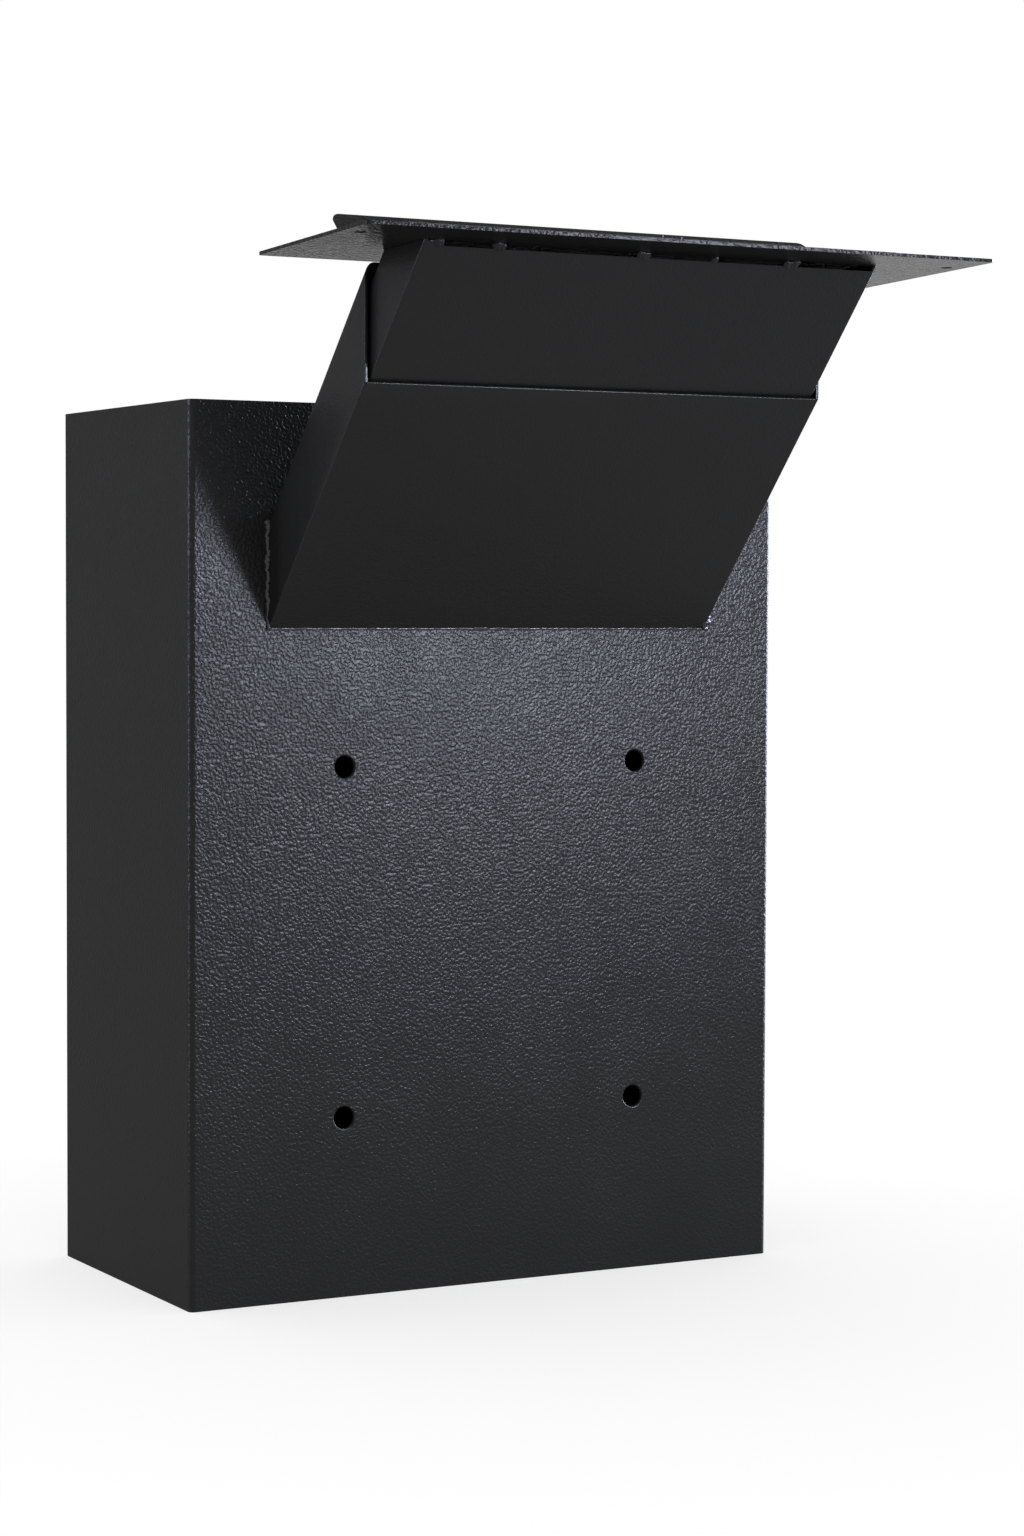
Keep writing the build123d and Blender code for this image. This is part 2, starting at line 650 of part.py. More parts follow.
clear_of_knuckles = flap_knuckle_radius + knuckle_gap
with BuildPart() as flap_hinge_leaf:
    add(flap_knuckles(0))
    leaf_near = flap_hinge_offset + clear_of_knuckles
    leaf_far = flap_hinge_offset + flap_leaf_width
    add(flap_tabs(0, leaf_near, plate_sheet, plate_sheet + flap_leaf_sheet))
    with BuildSketch(plate_plane.offset(plate_sheet)):
        with Locations((0, (leaf_near + leaf_far) / 2)):
            Rectangle(flap_width - knuckle_gap, leaf_far - leaf_near)
    extrude(amount=flap_leaf_sheet)
    with BuildSketch(flap_side.offset(-flap_width / 2 - overrun)):
        with Locations((flap_hinge_offset, flap_axis_height)):
            Circle(flap_bore)
    extrude(amount=flap_width + 2 * overrun, mode=Mode.SUBTRACT)
flap_hinge_leaf.part.label = "flap_hinge_leaf"
export_step(flap_hinge_leaf.part, "parts/flap_hinge_leaf.step")

with BuildPart() as flap_hinge_pin:
    with BuildSketch(flap_side.offset(-(flap_width - knuckle_gap) / 2)):
        with Locations((flap_hinge_offset, flap_axis_height)):
            Circle(flap_pin_radius)
    extrude(amount=flap_width - knuckle_gap)
flap_hinge_pin.part.label = "flap_hinge_pin"
export_step(flap_hinge_pin.part, "parts/flap_hinge_pin.step")

# --- Flap: sheet over the slot, knuckles at its hinge edge, finger lip folded up at the other ---
flap_low = plate_sheet + flap_lift
lip_run = flap_lip_length * cos(radians(flap_lip_angle))
lip_rise = flap_lip_length * sin(radians(flap_lip_angle))
with BuildPart() as flap:
    with BuildSketch(flap_side.offset(-flap_width / 2 + knuckle_gap / 2)):
        with BuildLine():
            FilletPolyline(
                (flap_hinge_offset - clear_of_knuckles, flap_low),
                (-flap_reach, flap_low),
                (-flap_reach - lip_run, flap_low + lip_rise),
                radius=flap_bend,
            )
            offset(amount=flap_sheet, side=Side.RIGHT)
        make_face()
    extrude(amount=flap_width - knuckle_gap)
    short_edges = flap.edges().filter_by(lambda edge: edge.length < 2 * flap_sheet)
    fillet(short_edges.group_by(Axis.Z)[-1], radius=flap_lip_corner)
    add(flap_knuckles(1))
    add(flap_tabs(1, flap_hinge_offset - clear_of_knuckles, flap_low, flap_low + flap_sheet))
    with BuildSketch(flap_side.offset(-flap_width / 2 - overrun)):
        with Locations((flap_hinge_offset, flap_axis_height)):
            Circle(flap_bore)
    extrude(amount=flap_width + 2 * overrun, mode=Mode.SUBTRACT)
flap.part.label = "flap"
export_step(flap.part, "parts/flap.step")
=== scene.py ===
"""Through-the-wall key drop box: coats, welds, rounded edges, metals and a plain studio around the packed frame.

Everything is in metres in the frame of the solids: +Y leaves the back of the box into the wall, the door faces -Y
and +Z is up.
"""

import json
import math

import bmesh
import bpy
import numpy as np
from bpy.props import FloatProperty, FloatVectorProperty, PointerProperty
from mathutils import Euler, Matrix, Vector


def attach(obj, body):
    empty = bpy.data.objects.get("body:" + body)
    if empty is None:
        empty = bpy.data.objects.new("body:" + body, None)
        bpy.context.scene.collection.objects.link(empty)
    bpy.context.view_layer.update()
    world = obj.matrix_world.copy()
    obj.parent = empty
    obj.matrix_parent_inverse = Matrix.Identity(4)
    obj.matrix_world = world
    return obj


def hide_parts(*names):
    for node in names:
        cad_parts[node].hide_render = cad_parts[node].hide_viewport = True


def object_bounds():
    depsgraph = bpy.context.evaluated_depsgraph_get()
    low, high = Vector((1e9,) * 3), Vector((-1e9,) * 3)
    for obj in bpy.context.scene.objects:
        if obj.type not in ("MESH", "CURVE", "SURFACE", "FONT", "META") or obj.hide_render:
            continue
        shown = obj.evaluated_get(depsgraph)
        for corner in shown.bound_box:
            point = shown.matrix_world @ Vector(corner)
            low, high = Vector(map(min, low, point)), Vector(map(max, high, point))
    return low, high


bl_info = {
    "name": "Key Drop Box",
    "version": (1, 0, 0),
    "blender": (4, 5, 0),
    "location": "View3D > Sidebar > Drop Box",
    "description": "Dresses the solids of a key drop box with powder coat, weld beads and lock metals",
    "category": "Object",
}

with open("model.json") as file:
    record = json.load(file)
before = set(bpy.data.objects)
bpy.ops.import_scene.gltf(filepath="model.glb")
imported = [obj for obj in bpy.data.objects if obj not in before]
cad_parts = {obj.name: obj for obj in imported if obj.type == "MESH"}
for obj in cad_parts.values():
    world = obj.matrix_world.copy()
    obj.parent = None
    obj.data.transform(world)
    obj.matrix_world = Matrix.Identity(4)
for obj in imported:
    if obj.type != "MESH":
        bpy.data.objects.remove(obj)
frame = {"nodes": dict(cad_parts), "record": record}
CAD_LOW, CAD_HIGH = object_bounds()
TAU = 2 * math.pi
SHARP = math.radians(30)  # a turn above this counts as an edge
BEAD_SHARP = math.radians(60)  # the same on the weld beads
FLAT = math.radians(0.5)  # faces that turn less than this are made one
MERGE_WITHIN = 2e-6
ON_BACK = 1e-5  # an edge this near to y = 0 lies in the outer face of the back
WHITE = (1.0, 1.0, 1.0)

# Width of the rounding of each piece's sharp edges. The pieces left out keep the edges of their solids.
ROUNDINGS = {
    "shell_wrap": 0.0005,
    "top_panel": 0.0003,
    "bottom_panel": 0.0003,
    "door_stops": 0.0003,
    "door_panel": 0.0004,
    "door_stiffener": 0.0002,
    "lock_barrel": 0.0002,
    "lock_washer": 0.00015,
    "lock_nut": 0.0003,
    "lock_plug": 0.00015,
    "lock_cam": 0.00025,
    "lock_key": 0.0003,
    "face_plate": 0.0006,
    "flap": 0.0003,
}

# Surfaces: points per corner and per side of a tube, rows along it, its tightest corner, the slack when a point is
# held against the floor's edge, half the gap between two points where a cut jumps, the step along a bead and the
# points round its section.
CORNER_POINTS = 8
TUBE_ROWS = 14
TIGHTEST_CORNER = 5e-5
SLACK = 1e-6
JUMP = 1e-5
BEAD_STEP = 0.0004
BEAD_SECTION = 16

# The stitches under the plate: places along half of the seam from its middle, lengths, and how far the middle of
# their section lies in from the floor's edge and below the plate, in stitch gaps.
STITCH_PLACES = (0.967, 0.69, 0.06, -0.262, -0.618)
STITCH_LENGTHS = (0.0092, 0.0066, 0.0068, 0.0036, 0.0082)
STITCH_IN, STITCH_DOWN = 0.34, 0.5

# Coats: heights between which the wrinkles of the box grow from SETTLED of their depth to all of it, the paint's
# specular level, and how far the gloss's roughness strays from its mean.
SETTLE_HEIGHTS = (-0.17, 0.06)
SETTLED = 0.33
PAINT_SPECULAR = 0.022
ROUGHNESS_STRAY = 0.03

RIM_RATIO = 10  # power of the right rim lamp over that of the left one
FLOOR_HALF = 9


# ---------------------------------------------------------------- sizes and colours


def length(name, description, default):
    """A size in metres, for the sidebar."""
    return FloatProperty(name=name, description=description, default=default, min=0.0, precision=5, unit="LENGTH")


def turn(name, description, degrees):
    """An angle, given in degrees and kept in radians."""
    return FloatProperty(name=name, description=description, default=math.radians(degrees), unit="ROTATION")


def power(name, description, default):
    """A lamp's power in watts."""
    return FloatProperty(name=name, description=description, default=default)


def share(name, description, default, top=1.0):
    """A plain number from 0 to top."""
    return FloatProperty(name=name, description=description, default=default, min=0.0, max=top)


def tint(name, description, default):
    """A colour."""
    return FloatVectorProperty(
        name=name, description=description, default=default, size=3, min=0.0, max=1.0, subtype="COLOR"
    )


class DropBoxChute(bpy.types.PropertyGroup):
    """Shape of the fixed chute and of the tube that telescopes in it."""

    angle: turn("Slope", "Slope of the chute above level", 47.0)
    foot: length("Foot height", "Middle of the fixed chute's foot above the frame's origin", 0.1678)
    rise: length("Rise", "Upright height of the fixed chute where it leaves the back", 0.0508)
    width: length("Width", "Outside width of the fixed chute", 0.2286)
    reach: length("Reach", "Back of the box to the mouth of the fixed chute", 0.0975)
    sheet: length("Sheet", "Thickness of the chute's sheet", 0.0015)
    fold: length("Fold", "Outside radius of the fixed chute's upper folds", 0.0043)
    ground: length("Ground corner", "Radius of the lower corners, welded and ground flush", 0.0007)
    play: length("Play", "Gap on each side of the tube", 0.0015)
    seat: length("Seat", "Gap under the tube, where it rests on the fixed floor", 0.0003)
    tube_fold: length("Tube fold", "Outside radius of the tube's upper folds", 0.0028)
    tube_start: length("Tube start", "Lower end of the tube, along the slope", 0.025)
    plate_distance: length("Plate distance", "Underside of the face plate, along the slope", 0.1836)
    plate_tilt: turn("Plate tilt", "Tilt of the face plate, outer edge up", 2.0)
    stitch_gap: length("Stitch gap", "Gap between the tube's floor and the plate", 0.0022)
    rim: length("Rim", "Rounding of the sheet's cut edges under the paint", 0.0004)


class DropBoxWelds(bpy.types.PropertyGroup):
    """Shape of the weld beads."""

    side_leg: length("Side leg", "Size of the beads beside the chute's foot", 0.0019)
    foot_leg: length("Foot leg", "Size of the bead below the chute's foot", 0.0007)
    top_leg: length("Top leg", "Size of the bead above the chute's foot", 0.0034)
    proud: share("Proud", "How far a bead stands beyond its chord, as a share of it", 0.1)
    stitch_leg: length("Stitch leg", "Half length of a stitch along the tube's floor", 0.0019)
    stitch_proud: length("Stitch proud", "How far a stitch stands beyond the tube's floor", 0.0001)
    waver: share("Waver", "Uneven swelling of a bead as a share of its size", 0.4)


class DropBoxFinish(bpy.types.PropertyGroup):
    """Colours and textures of the finishes."""

    coat: tint("Box coat", "Powder coat on the box and the door", (0.0125, 0.0125, 0.0130))
    chute_coat: tint("Chute coat", "Powder coat on the chute, the plate and the flap", (0.0135, 0.0135, 0.0140))
    rolled: length("Rolled rim", "Rounding of the punched holes' outer rims", 0.0012)
    wrinkle: length("Wrinkle", "Width of one wrinkle of the shell's coat", 0.00145)
    wrinkle_depth: length("Wrinkle depth", "Depth of the shell's wrinkles", 0.00015)
    grain: length("Grain", "Width of one wrinkle of the chute's coat", 0.0012)
    grain_depth: length("Grain depth", "Depth of the chute's wrinkles", 0.00005)
    plate_grain: length("Plate grain", "Width of one wrinkle of the plate's coat", 0.0018)
    plate_grain_depth: length("Plate grain depth", "Depth of the plate's wrinkles", 0.00014)
    gloss: share("Gloss roughness", "Mean roughness of the powder coat's glossy share", 0.29)
    gloss_share: share("Gloss share", "Share of the box's surface that shines", 0.028)
    panel_gloss: share("Panel gloss", "Share of the end panels' surface that shines", 0.006)
    chute_gloss: share("Chute gloss", "Share of the chute's surface that shines", 0.041)
    bead_gloss: share("Bead gloss", "Share of the painted beads' surface that shines", 0.11)
    plate_gloss: share("Plate gloss", "Share of the face plate's and the flap's surface that shines", 0.011)
    glint: tint("Gloss colour", "Colour of the powder coat's glossy share", (0.3, 0.3, 0.31))
    steel: tint("Hinge steel", "Rolled steel of the piano hinge", (0.27, 0.27, 0.28))
    pin: tint("Pin steel", "Drawn steel of the hinge pins", (0.5, 0.5, 0.51))
    zinc: tint("Zinc", "Zinc plate on the cam, nut, washer and screw", (0.56, 0.58, 0.6))
    chrome: tint("Chrome", "Chrome plate on the lock's barrel", (0.72, 0.73, 0.75))
    nickel: tint("Nickel", "Nickel plate on the lock's plug and key", (0.66, 0.62, 0.55))
    brass: tint("Brass", "Stamped brass of the wafers", (0.72, 0.5, 0.2))
    rubber: tint("Rubber", "Rubber of the door bumpers", (0.014, 0.014, 0.015))


class DropBoxStudio(bpy.types.PropertyGroup):
    """Camera, lamps and surroundings."""

    eye: FloatVectorProperty(
        name="Camera place", description="Where the camera stands", default=(0.75036, 1.39543, 0.15552), size=3,
        unit="LENGTH",
    )
    aim: FloatVectorProperty(
        name="Camera turn", description="Rotation of the camera",
        default=tuple(math.radians(a) for a in (87.2011, -0.2233, 151.4219)), size=3, subtype="EULER",
    )
    lens: FloatProperty(name="Lens", description="Focal length for a 36 mm long side, in millimetres", default=80.1365)
    sheen_power: power("Sheen lamp", "Power of the small cool lamp behind the box, in watts", 23.0)
    sheen_tint: tint("Sheen tint", "Colour of the sheen lamp and the rim lamps", (0.8, 0.845, 1.0))
    rim_power: power("Rim lamps", "Power of the large lamp on the -X side, in watts. The one on +X has a tenth", 300.0)
    side_power: power("Side lamp", "Power of the lamp beside the box, in watts", 0.4)
    top_power: power("Top lamp", "Power of the lamp overhead, in watts", 2.0)
    ambient: share("Ambient", "Light from all round", 1.0, top=2.0)
    floor_tone: share("Floor tone", "How pale the floor is", 0.4)
    floor_fill: share("Floor white", "How much of the floor's white shows even in shadow", 0.62)


# ---------------------------------------------------------------- meshes


def mesh_of(name, points, wrap_rows=False, caps=False):
    """A mesh of quads over a grid of points, rows by columns by 3, whose last column joins the first.

    wrap_rows joins the last row to the first, and caps closes the two ends. If the volume that the faces enclose
    comes out negative, every face is turned round, so that faces point outwards.
    """
    rows, columns = points.shape[:2]
    index = np.arange(rows * columns).reshape(rows, columns)
    ends = [index[0, ::-1].tolist(), index[-1].tolist()] if caps else []
    if wrap_rows:
        index = np.vstack([index, index[:1]])
    index = np.hstack([index, index[:, :1]])
    quads = np.stack([index[:-1, :-1], index[:-1, 1:], index[1:, 1:], index[1:, :-1]], axis=-1).reshape(-1, 4)
    flat = points.reshape(-1, 3)
    a, b, c, d = (flat[quads[:, k]] for k in range(4))
    volume = np.einsum("ij,ij->", a, np.cross(b, c)) + np.einsum("ij,ij->", a, np.cross(c, d))
    faces = quads.tolist() + ends
    if volume < 0:
        faces = [face[::-1] for face in faces]
    mesh = bpy.data.meshes.new(name)
    mesh.from_pydata(flat.tolist(), [], faces)
    mesh.update()
    return mesh


def joined(name, meshes):
    """One mesh made of several."""
    whole = bmesh.new()
    for part in meshes:
        whole.from_mesh(part)
        bpy.data.meshes.remove(part)
    mesh = bpy.data.meshes.new(name)
    whole.to_mesh(mesh)
    whole.free()
    return mesh


def piece(name, mesh, body, slot, material, *nodes, smooth_below=SHARP):
    """Puts a finished mesh into the scene as a piece that rides on body and stands for nodes."""
    made = bpy.data.objects.new(name, mesh)
    bpy.context.scene.collection.objects.link(made)
    mesh.shade_smooth()
    mesh.set_sharp_from_angle(angle=smooth_below)
    mesh.materials.clear()
    mesh.materials.append(material)
    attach(made, body)
    if nodes:
        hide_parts(*nodes)
    return made


def edge_cosines(mesh):
    """Cosine of the turn between the two faces at every edge."""
    edge_of, total = np.empty(len(mesh.loops), int), np.empty(len(mesh.polygons), int)
    normal = np.empty(len(mesh.polygons) * 3)
    mesh.loops.foreach_get("edge_index", edge_of)
    mesh.polygons.foreach_get("loop_total", total)
    mesh.polygons.foreach_get("normal", normal)
    face = np.repeat(np.arange(len(total)), total)[np.argsort(edge_of, kind="stable")]
    first = np.searchsorted(np.sort(edge_of), np.arange(len(mesh.edges)))
    second = np.minimum(first + 1, len(face) - 1)
    normal = normal.reshape(-1, 3)
    return (normal[face[first]] * normal[face[second]]).sum(axis=1)


def weigh_edges(mesh, share_elsewhere, holes, radius):
    """Bevel weights: 1 on the outer rims of the holes, share_elsewhere on other sharp edges and 0 on the rest.

    The holes are circles of one radius round points (x, z) in the plane y = 0. A rim edge's middle lies in that
    plane, within a tenth of the radius of its circle.
    """
    spot, ends = np.empty(len(mesh.vertices) * 3), np.empty(len(mesh.edges) * 2, int)
    mesh.vertices.foreach_get("co", spot)
    mesh.edges.foreach_get("vertices", ends)
    middle = spot.reshape(-1, 3)[ends.reshape(-1, 2)].mean(axis=1)
    away = np.linalg.norm(middle[:, None, [0, 2]] - np.array(holes)[None], axis=2).min(axis=1)
    rim = (np.abs(away - radius) < radius / 10) & (np.abs(middle[:, 1]) < ON_BACK)
    sharp = edge_cosines(mesh) < math.cos(SHARP)
    weights = np.where(rim, 1.0, share_elsewhere) * sharp
    mesh.attributes.new("bevel_weight_edge", "FLOAT", "EDGE").data.foreach_set("value", weights.astype(np.float32))


def dressed(node, material, steps=2, holes=(), radius=0.0, rolled=0.0):
    """Dresses a node in a material, as a copy with rounded edges, or as it is where ROUNDINGS has no width for it.

    The copy has its loose triangles merged and its flat faces made whole. A bevel then rounds every edge sharper
    than 30 degrees, and weighted normals keep the flats flat. The outer rims of punched holes are rounded by
    rolled instead.
    """
    solid = frame["nodes"][node]
    slot = next(s["material_slot"] for s in frame["record"]["subparts"] if s["node"] == node)
    rounding = ROUNDINGS.get(node)
    if not rounding:
        solid.data.materials.clear()
        solid.data.materials.append(material)
        return
    work = bmesh.new()
    work.from_mesh(solid.data)
    bmesh.ops.remove_doubles(work, verts=work.verts, dist=MERGE_WITHIN)
    bmesh.ops.dissolve_limit(work, angle_limit=FLAT, verts=work.verts, edges=work.edges)
    mesh = bpy.data.meshes.new(node + "_finish")
    work.to_mesh(mesh)
    work.free()
    body = next(b for b, members in frame["record"]["behaviour"]["bodies"].items() if node in members)
    made = piece(node + "_finish", mesh, body, slot, material, node)
    bevel = made.modifiers.new("Rounded edges", "BEVEL")
    bevel.width = rounding
    bevel.segments = steps
    bevel.limit_method = "ANGLE"
    bevel.angle_limit = SHARP
    bevel.miter_outer = "MITER_ARC"
    bevel.harden_normals = False
    if holes:
        weigh_edges(mesh, rounding / rolled, holes, radius)
        bevel.width = rolled
        bevel.limit_method = "WEIGHT"
    weighted = made.modifiers.new("Flat faces", "WEIGHTED_NORMAL")
    weighted.keep_sharp = True
    weighted.weight = 80


# ---------------------------------------------------------------- surfaces


def rounded_loop(width, height, top, bottom, inset, floor_stops=()):
    """Points round a rectangle with rounded corners, moved inwards by inset.

    Each quarter corner is its centre plus its radius times the cosine and sine of the angle, where the radius is
    what is left of the corner's own after the inset, and at least a twentieth of a millimetre. Between corners the
    points run straight in even steps. floor_stops adds pairs of points 0.02 mm apart where the floor's edge jumps.
    """
    half_w, half_h = width / 2 - inset, height / 2 - inset
    corners = []
    for quarter, radius in enumerate((top, top, bottom, bottom)):
        r = max(radius - inset, TIGHTEST_CORNER)
        sx, sy = ((1, 1), (-1, 1), (-1, -1), (1, -1))[quarter]
        angle = np.linspace(quarter, quarter + 1, CORNER_POINTS) * TAU / 4
        centre = np.array([sx * (half_w - r), sy * (half_h - r)])
        corners.append(centre + r * np.stack([np.cos(angle), np.sin(angle)], axis=-1))
    loop = []
    for quarter in range(4):
        start, end = corners[quarter][-1], corners[(quarter + 1) % 4][0]
        places = np.linspace(0, 1, CORNER_POINTS)[1:-1]
        if quarter == 2 and len(floor_stops):
            stops = np.repeat(floor_stops, 2) + np.tile([-JUMP, JUMP], len(floor_stops))
            stops = np.clip(stops, start[0] + 2 * SLACK, end[0] - 2 * SLACK)
            places = np.sort(np.concatenate([places, (stops - start[0]) / (end[0] - start[0])]))
        loop += [corners[quarter], start + places[:, None] * (end - start)]
    return np.concatenate(loop)


def tube_points(size, sheet, foot, slope, low, high, rim, floor_stops=()):
    """A tube of sheet metal as one closed grid: up the outside, over the rim, down the inside and back.

    Each row is the rounded loop at its own inset from the outside, laid square to the slope: along the slope it
    lies at low plus a share of the way to high, and low and high give the two cuts for every point of the loop.
    At the upper cut, inset and setback follow a quarter circle of radius rim on each side of the sheet.
    """
    arc = np.linspace(0, TAU / 4, 5)
    rows = [(0.0, t, rim) for t in np.linspace(0, 1, TUBE_ROWS)]
    rows += [(rim * (1 - math.cos(a)), 1.0, rim * (1 - math.sin(a))) for a in arc[1:]]
    rows += [(sheet - inset, t, setback) for inset, t, setback in reversed(rows)]
    grid = []
    for inset, t, setback in rows:
        loop = rounded_loop(*size, inset, floor_stops)
        start = low(loop)
        distance = start + t * (high(loop) - setback - start)
        y = foot[0] + distance * math.cos(slope) - loop[:, 1] * math.sin(slope)
        z = foot[1] + distance * math.sin(slope) + loop[:, 1] * math.cos(slope)
        grid.append(np.stack([loop[:, 0], y, z], axis=-1))
    return np.array(grid)


def upright_cut(y, foot, slope):
    """Where a loop laid on the slope meets the upright plane at y: distance along the slope for each point."""
    return lambda loop: (y - foot[0] + loop[:, 1] * math.sin(slope)) / math.cos(slope)


def bead_points(path, across, out, half, height, waver, phase=0.0, blobs=(), fullness=1.0):
    """A weld bead as a grid: a rounded section carried along a straight path between two points.

    Its half axes are half along across and height along out. The cosine and sine round the section are raised to
    the power fullness, which fills it out below 1. The section swells by waver times a sum of five sines of the
    distance along the path, whose lengths run from 1.9 mm to 19 mm and share no common measure. The three shortest
    turn round the section too. It also swells by a bell curve round each blob, given as its place along the path from
    0 to 1, its gain and its reach. The middle sways along across by a fifth of half, once in 11.3 mm. The ends close
    as a quarter circle does, over one half width, down to a fiftieth of the section.
    """
    a, b = (np.array(p, float) for p in path)
    span = np.linalg.norm(b - a)
    fine = half * (1 - np.cos(np.linspace(0, TAU / 4, 7)))
    steps = max(16, int(span / BEAD_STEP))
    s = np.unique(np.concatenate([fine, np.linspace(fine[-1], span - fine[-1], steps), span - fine]))
    angle = np.linspace(0, TAU, BEAD_SECTION + 1)[:-1]
    # length, share of the swell and turns round the section
    waves = ((0.0019, 0.2, 2), (0.0031, 0.34, 1), (0.0053, 0.3, 1), (0.0093, 0.3, 0), (0.0190, 0.3, 0))
    swell = sum(
        gain * np.sin(TAU * s[:, None] / run + turns * angle + (3.1 + phase) * (1 + k))
        for k, (run, gain, turns) in enumerate(waves)
    )
    size = 1 + waver * swell
    for place, gain, reach in blobs:
        size = size * (1 + gain * np.exp(-(((s / span - place) * span / reach) ** 2)))[:, None]
    edge = np.clip(np.minimum(s, span - s) / half, 0, 1)
    size = size * np.sqrt(np.clip(1 - (1 - edge) ** 2, 4e-4, 1))[:, None]
    sway = 0.2 * half * np.sin(TAU * s / 0.0113 + 3 * phase)
    middle = a + (b - a) * (s / span)[:, None] + np.array(across, float) * sway[:, None]
    side, front = (np.sign(v) * np.abs(v) ** fullness for v in (np.cos(angle), np.sin(angle)))
    ring = half * side[:, None] * np.array(across, float) + height * front[:, None] * np.array(out, float)
    return middle[:, None, :] + size[:, :, None] * ring[None, :, :]


def fillet(corner, along_a, along_b, leg, proud):
    """Middle, cross direction, outward direction and half axes of a fillet weld's section in a corner.

    The two directions leave the corner along its walls, and the weld's chord joins the points one leg along each.
    The section is as wide as the chord, lies a third of the way out to it and stands proud of it by a share of it.
    """
    a, b = (np.array(v, float) / np.linalg.norm(v) for v in (along_a, along_b))
    chord = leg * np.linalg.norm(a - b)
    out = (a + b) / np.linalg.norm(a + b)
    across = (a - b) / np.linalg.norm(a - b)
    depth = leg * np.linalg.norm(a + b) / 2
    return np.array(corner) + out * depth / 3, across, out, chord / 2, depth * 2 / 3 + chord * proud


def foot_beads(c, w):
    """The four beads between the fixed chute and the box's back: left, right, below and above the chute's foot."""
    half = c.width / 2
    low, high = c.foot - c.rise / 2, c.foot + c.rise / 2
    slope = (0.0, math.cos(c.angle), math.sin(c.angle))
    side_low, side_high, foot_half, top_half = low - 0.0006, high - 0.4 * c.fold, half + 0.0005, half - c.fold
    beads = []
    for side in (1, -1):
        middle, *section = fillet((side * half, 0.0, 0.0), (side, 0, 0), (0, 1, 0), w.side_leg, w.proud)
        ends = (middle + (0, 0, side_low), middle + (0, 0, side_high))
        blobs = ((0.95, 0.6, 0.004), (0.62, 0.25, 0.004), (0.3, 0.2, 0.003), (0.12, 0.3 - 0.75 * side, 0.006))
        beads.append(bead_points(ends, *section, w.waver, phase=0.4 + side, blobs=blobs))
    middle, *section = fillet((0.0, 0.0, low), (0, 0, -1), slope, w.foot_leg, w.proud / 3)
    ends = (middle + (-foot_half, 0, 0), middle + (foot_half, 0, 0))
    blobs = ((0.54, 0.9, 0.003), (0.49, 0.7, 0.002), (0.52, 0.5, 0.0015), (0.07, 0.4, 0.003))
    beads.append(bead_points(ends, *section, 0.7 * w.waver, phase=2.1, blobs=blobs))
    middle, *section = fillet((0.0, 0.0, high), (0, 0, 1), slope, w.top_leg, w.proud)
    ends = (middle + (-top_half, 0, 0), middle + (top_half, 0, 0))
    beads.append(bead_points(ends, *section, 0.7 * w.waver, phase=0.9))
    return beads


def stitch_beads(c, w):
    """The short beads that bridge the gap between the tube's floor and the underside of the plate.

    Each follows the floor's slope, so that its face carries on the floor's, and ends a little inside both.
    """
    seam = c.width - 2 * (2 * c.sheet + c.play)
    steep = c.angle - c.plate_tilt
    along = np.array([0.0, math.cos(c.plate_tilt), math.sin(c.plate_tilt)])
    up = np.array([0.0, -along[2], along[1]])
    middle = np.array([0.0, c.plate_distance * math.cos(c.angle), c.foot + c.plate_distance * math.sin(c.angle)])
    inner = c.rise * math.cos(c.angle) - 2 * (2 * c.sheet + c.play)
    edge = (c.play - c.seat + inner / 2) / math.sin(steep) + c.sheet / 2
    rise = along * math.cos(steep) + up * math.sin(steep)
    outward = along * math.sin(steep) - up * math.cos(steep)
    beads = []
    for number, (place, span) in enumerate(zip(STITCH_PLACES, STITCH_LENGTHS)):
        centre = middle + along * (edge - STITCH_IN * c.stitch_gap) - up * c.stitch_gap * STITCH_DOWN
        centre = centre + (place * seam / 2, 0, 0)
        ends = (centre - (span / 2, 0, 0), centre + (span / 2, 0, 0))
        height = c.sheet / 2 + w.stitch_proud
        beads.append(bead_points(
            ends, rise, outward, w.stitch_leg, height, 0.5 * w.waver, phase=1.7 * number, fullness=0.5
        ))
    return beads


# ---------------------------------------------------------------- node groups


def put(tree, kind, place, inputs=None, **settings):
    """Adds a shader node. inputs maps a socket's name or number to a value or to the socket that feeds it."""
    made = tree.nodes.new(kind)
    made.location = (place[0] * 190, -place[1] * 190)
    for key, value in settings.items():
        setattr(made, key, value)
    for key, value in (inputs or {}).items():
        if isinstance(value, bpy.types.NodeSocket):
            tree.links.new(value, made.inputs[key])
        else:
            made.inputs[key].default_value = value
    return made


def maths(tree, operation, place, *values):
    """Adds a maths node over values or sockets and returns its result."""
    return put(tree, "ShaderNodeMath", place, dict(enumerate(values)), operation=operation).outputs[0]


def mapped(tree, place, value, low, high, to_low=0.0, to_high=1.0, interpolation="LINEAR"):
    """Adds a node that maps low to to_low and high to to_high, and returns its result."""
    ends = {"Value": value, "From Min": low, "From Max": high, "To Min": to_low, "To Max": to_high}
    return put(tree, "ShaderNodeMapRange", place, ends, interpolation_type=interpolation).outputs[0]


def noise(tree, place, vector, scale, detail, roughness=0.5):
    """Adds a noise texture and returns its outputs."""
    inputs = {"Vector": vector, "Scale": scale, "Detail": detail, "Roughness": roughness}
    return put(tree, "ShaderNodeTexNoise", place, inputs).outputs


def shown_rays(tree, place):
    """1 for camera, glossy and transmission rays, and 0 for the rays that light things."""
    path = put(tree, "ShaderNodeLightPath", place).outputs
    shown = maths(tree, "MAXIMUM", (place[0] + 1, place[1]), path["Is Camera Ray"], path["Is Glossy Ray"])
    return maths(tree, "MAXIMUM", (place[0] + 2, place[1]), shown, path["Is Transmission Ray"])


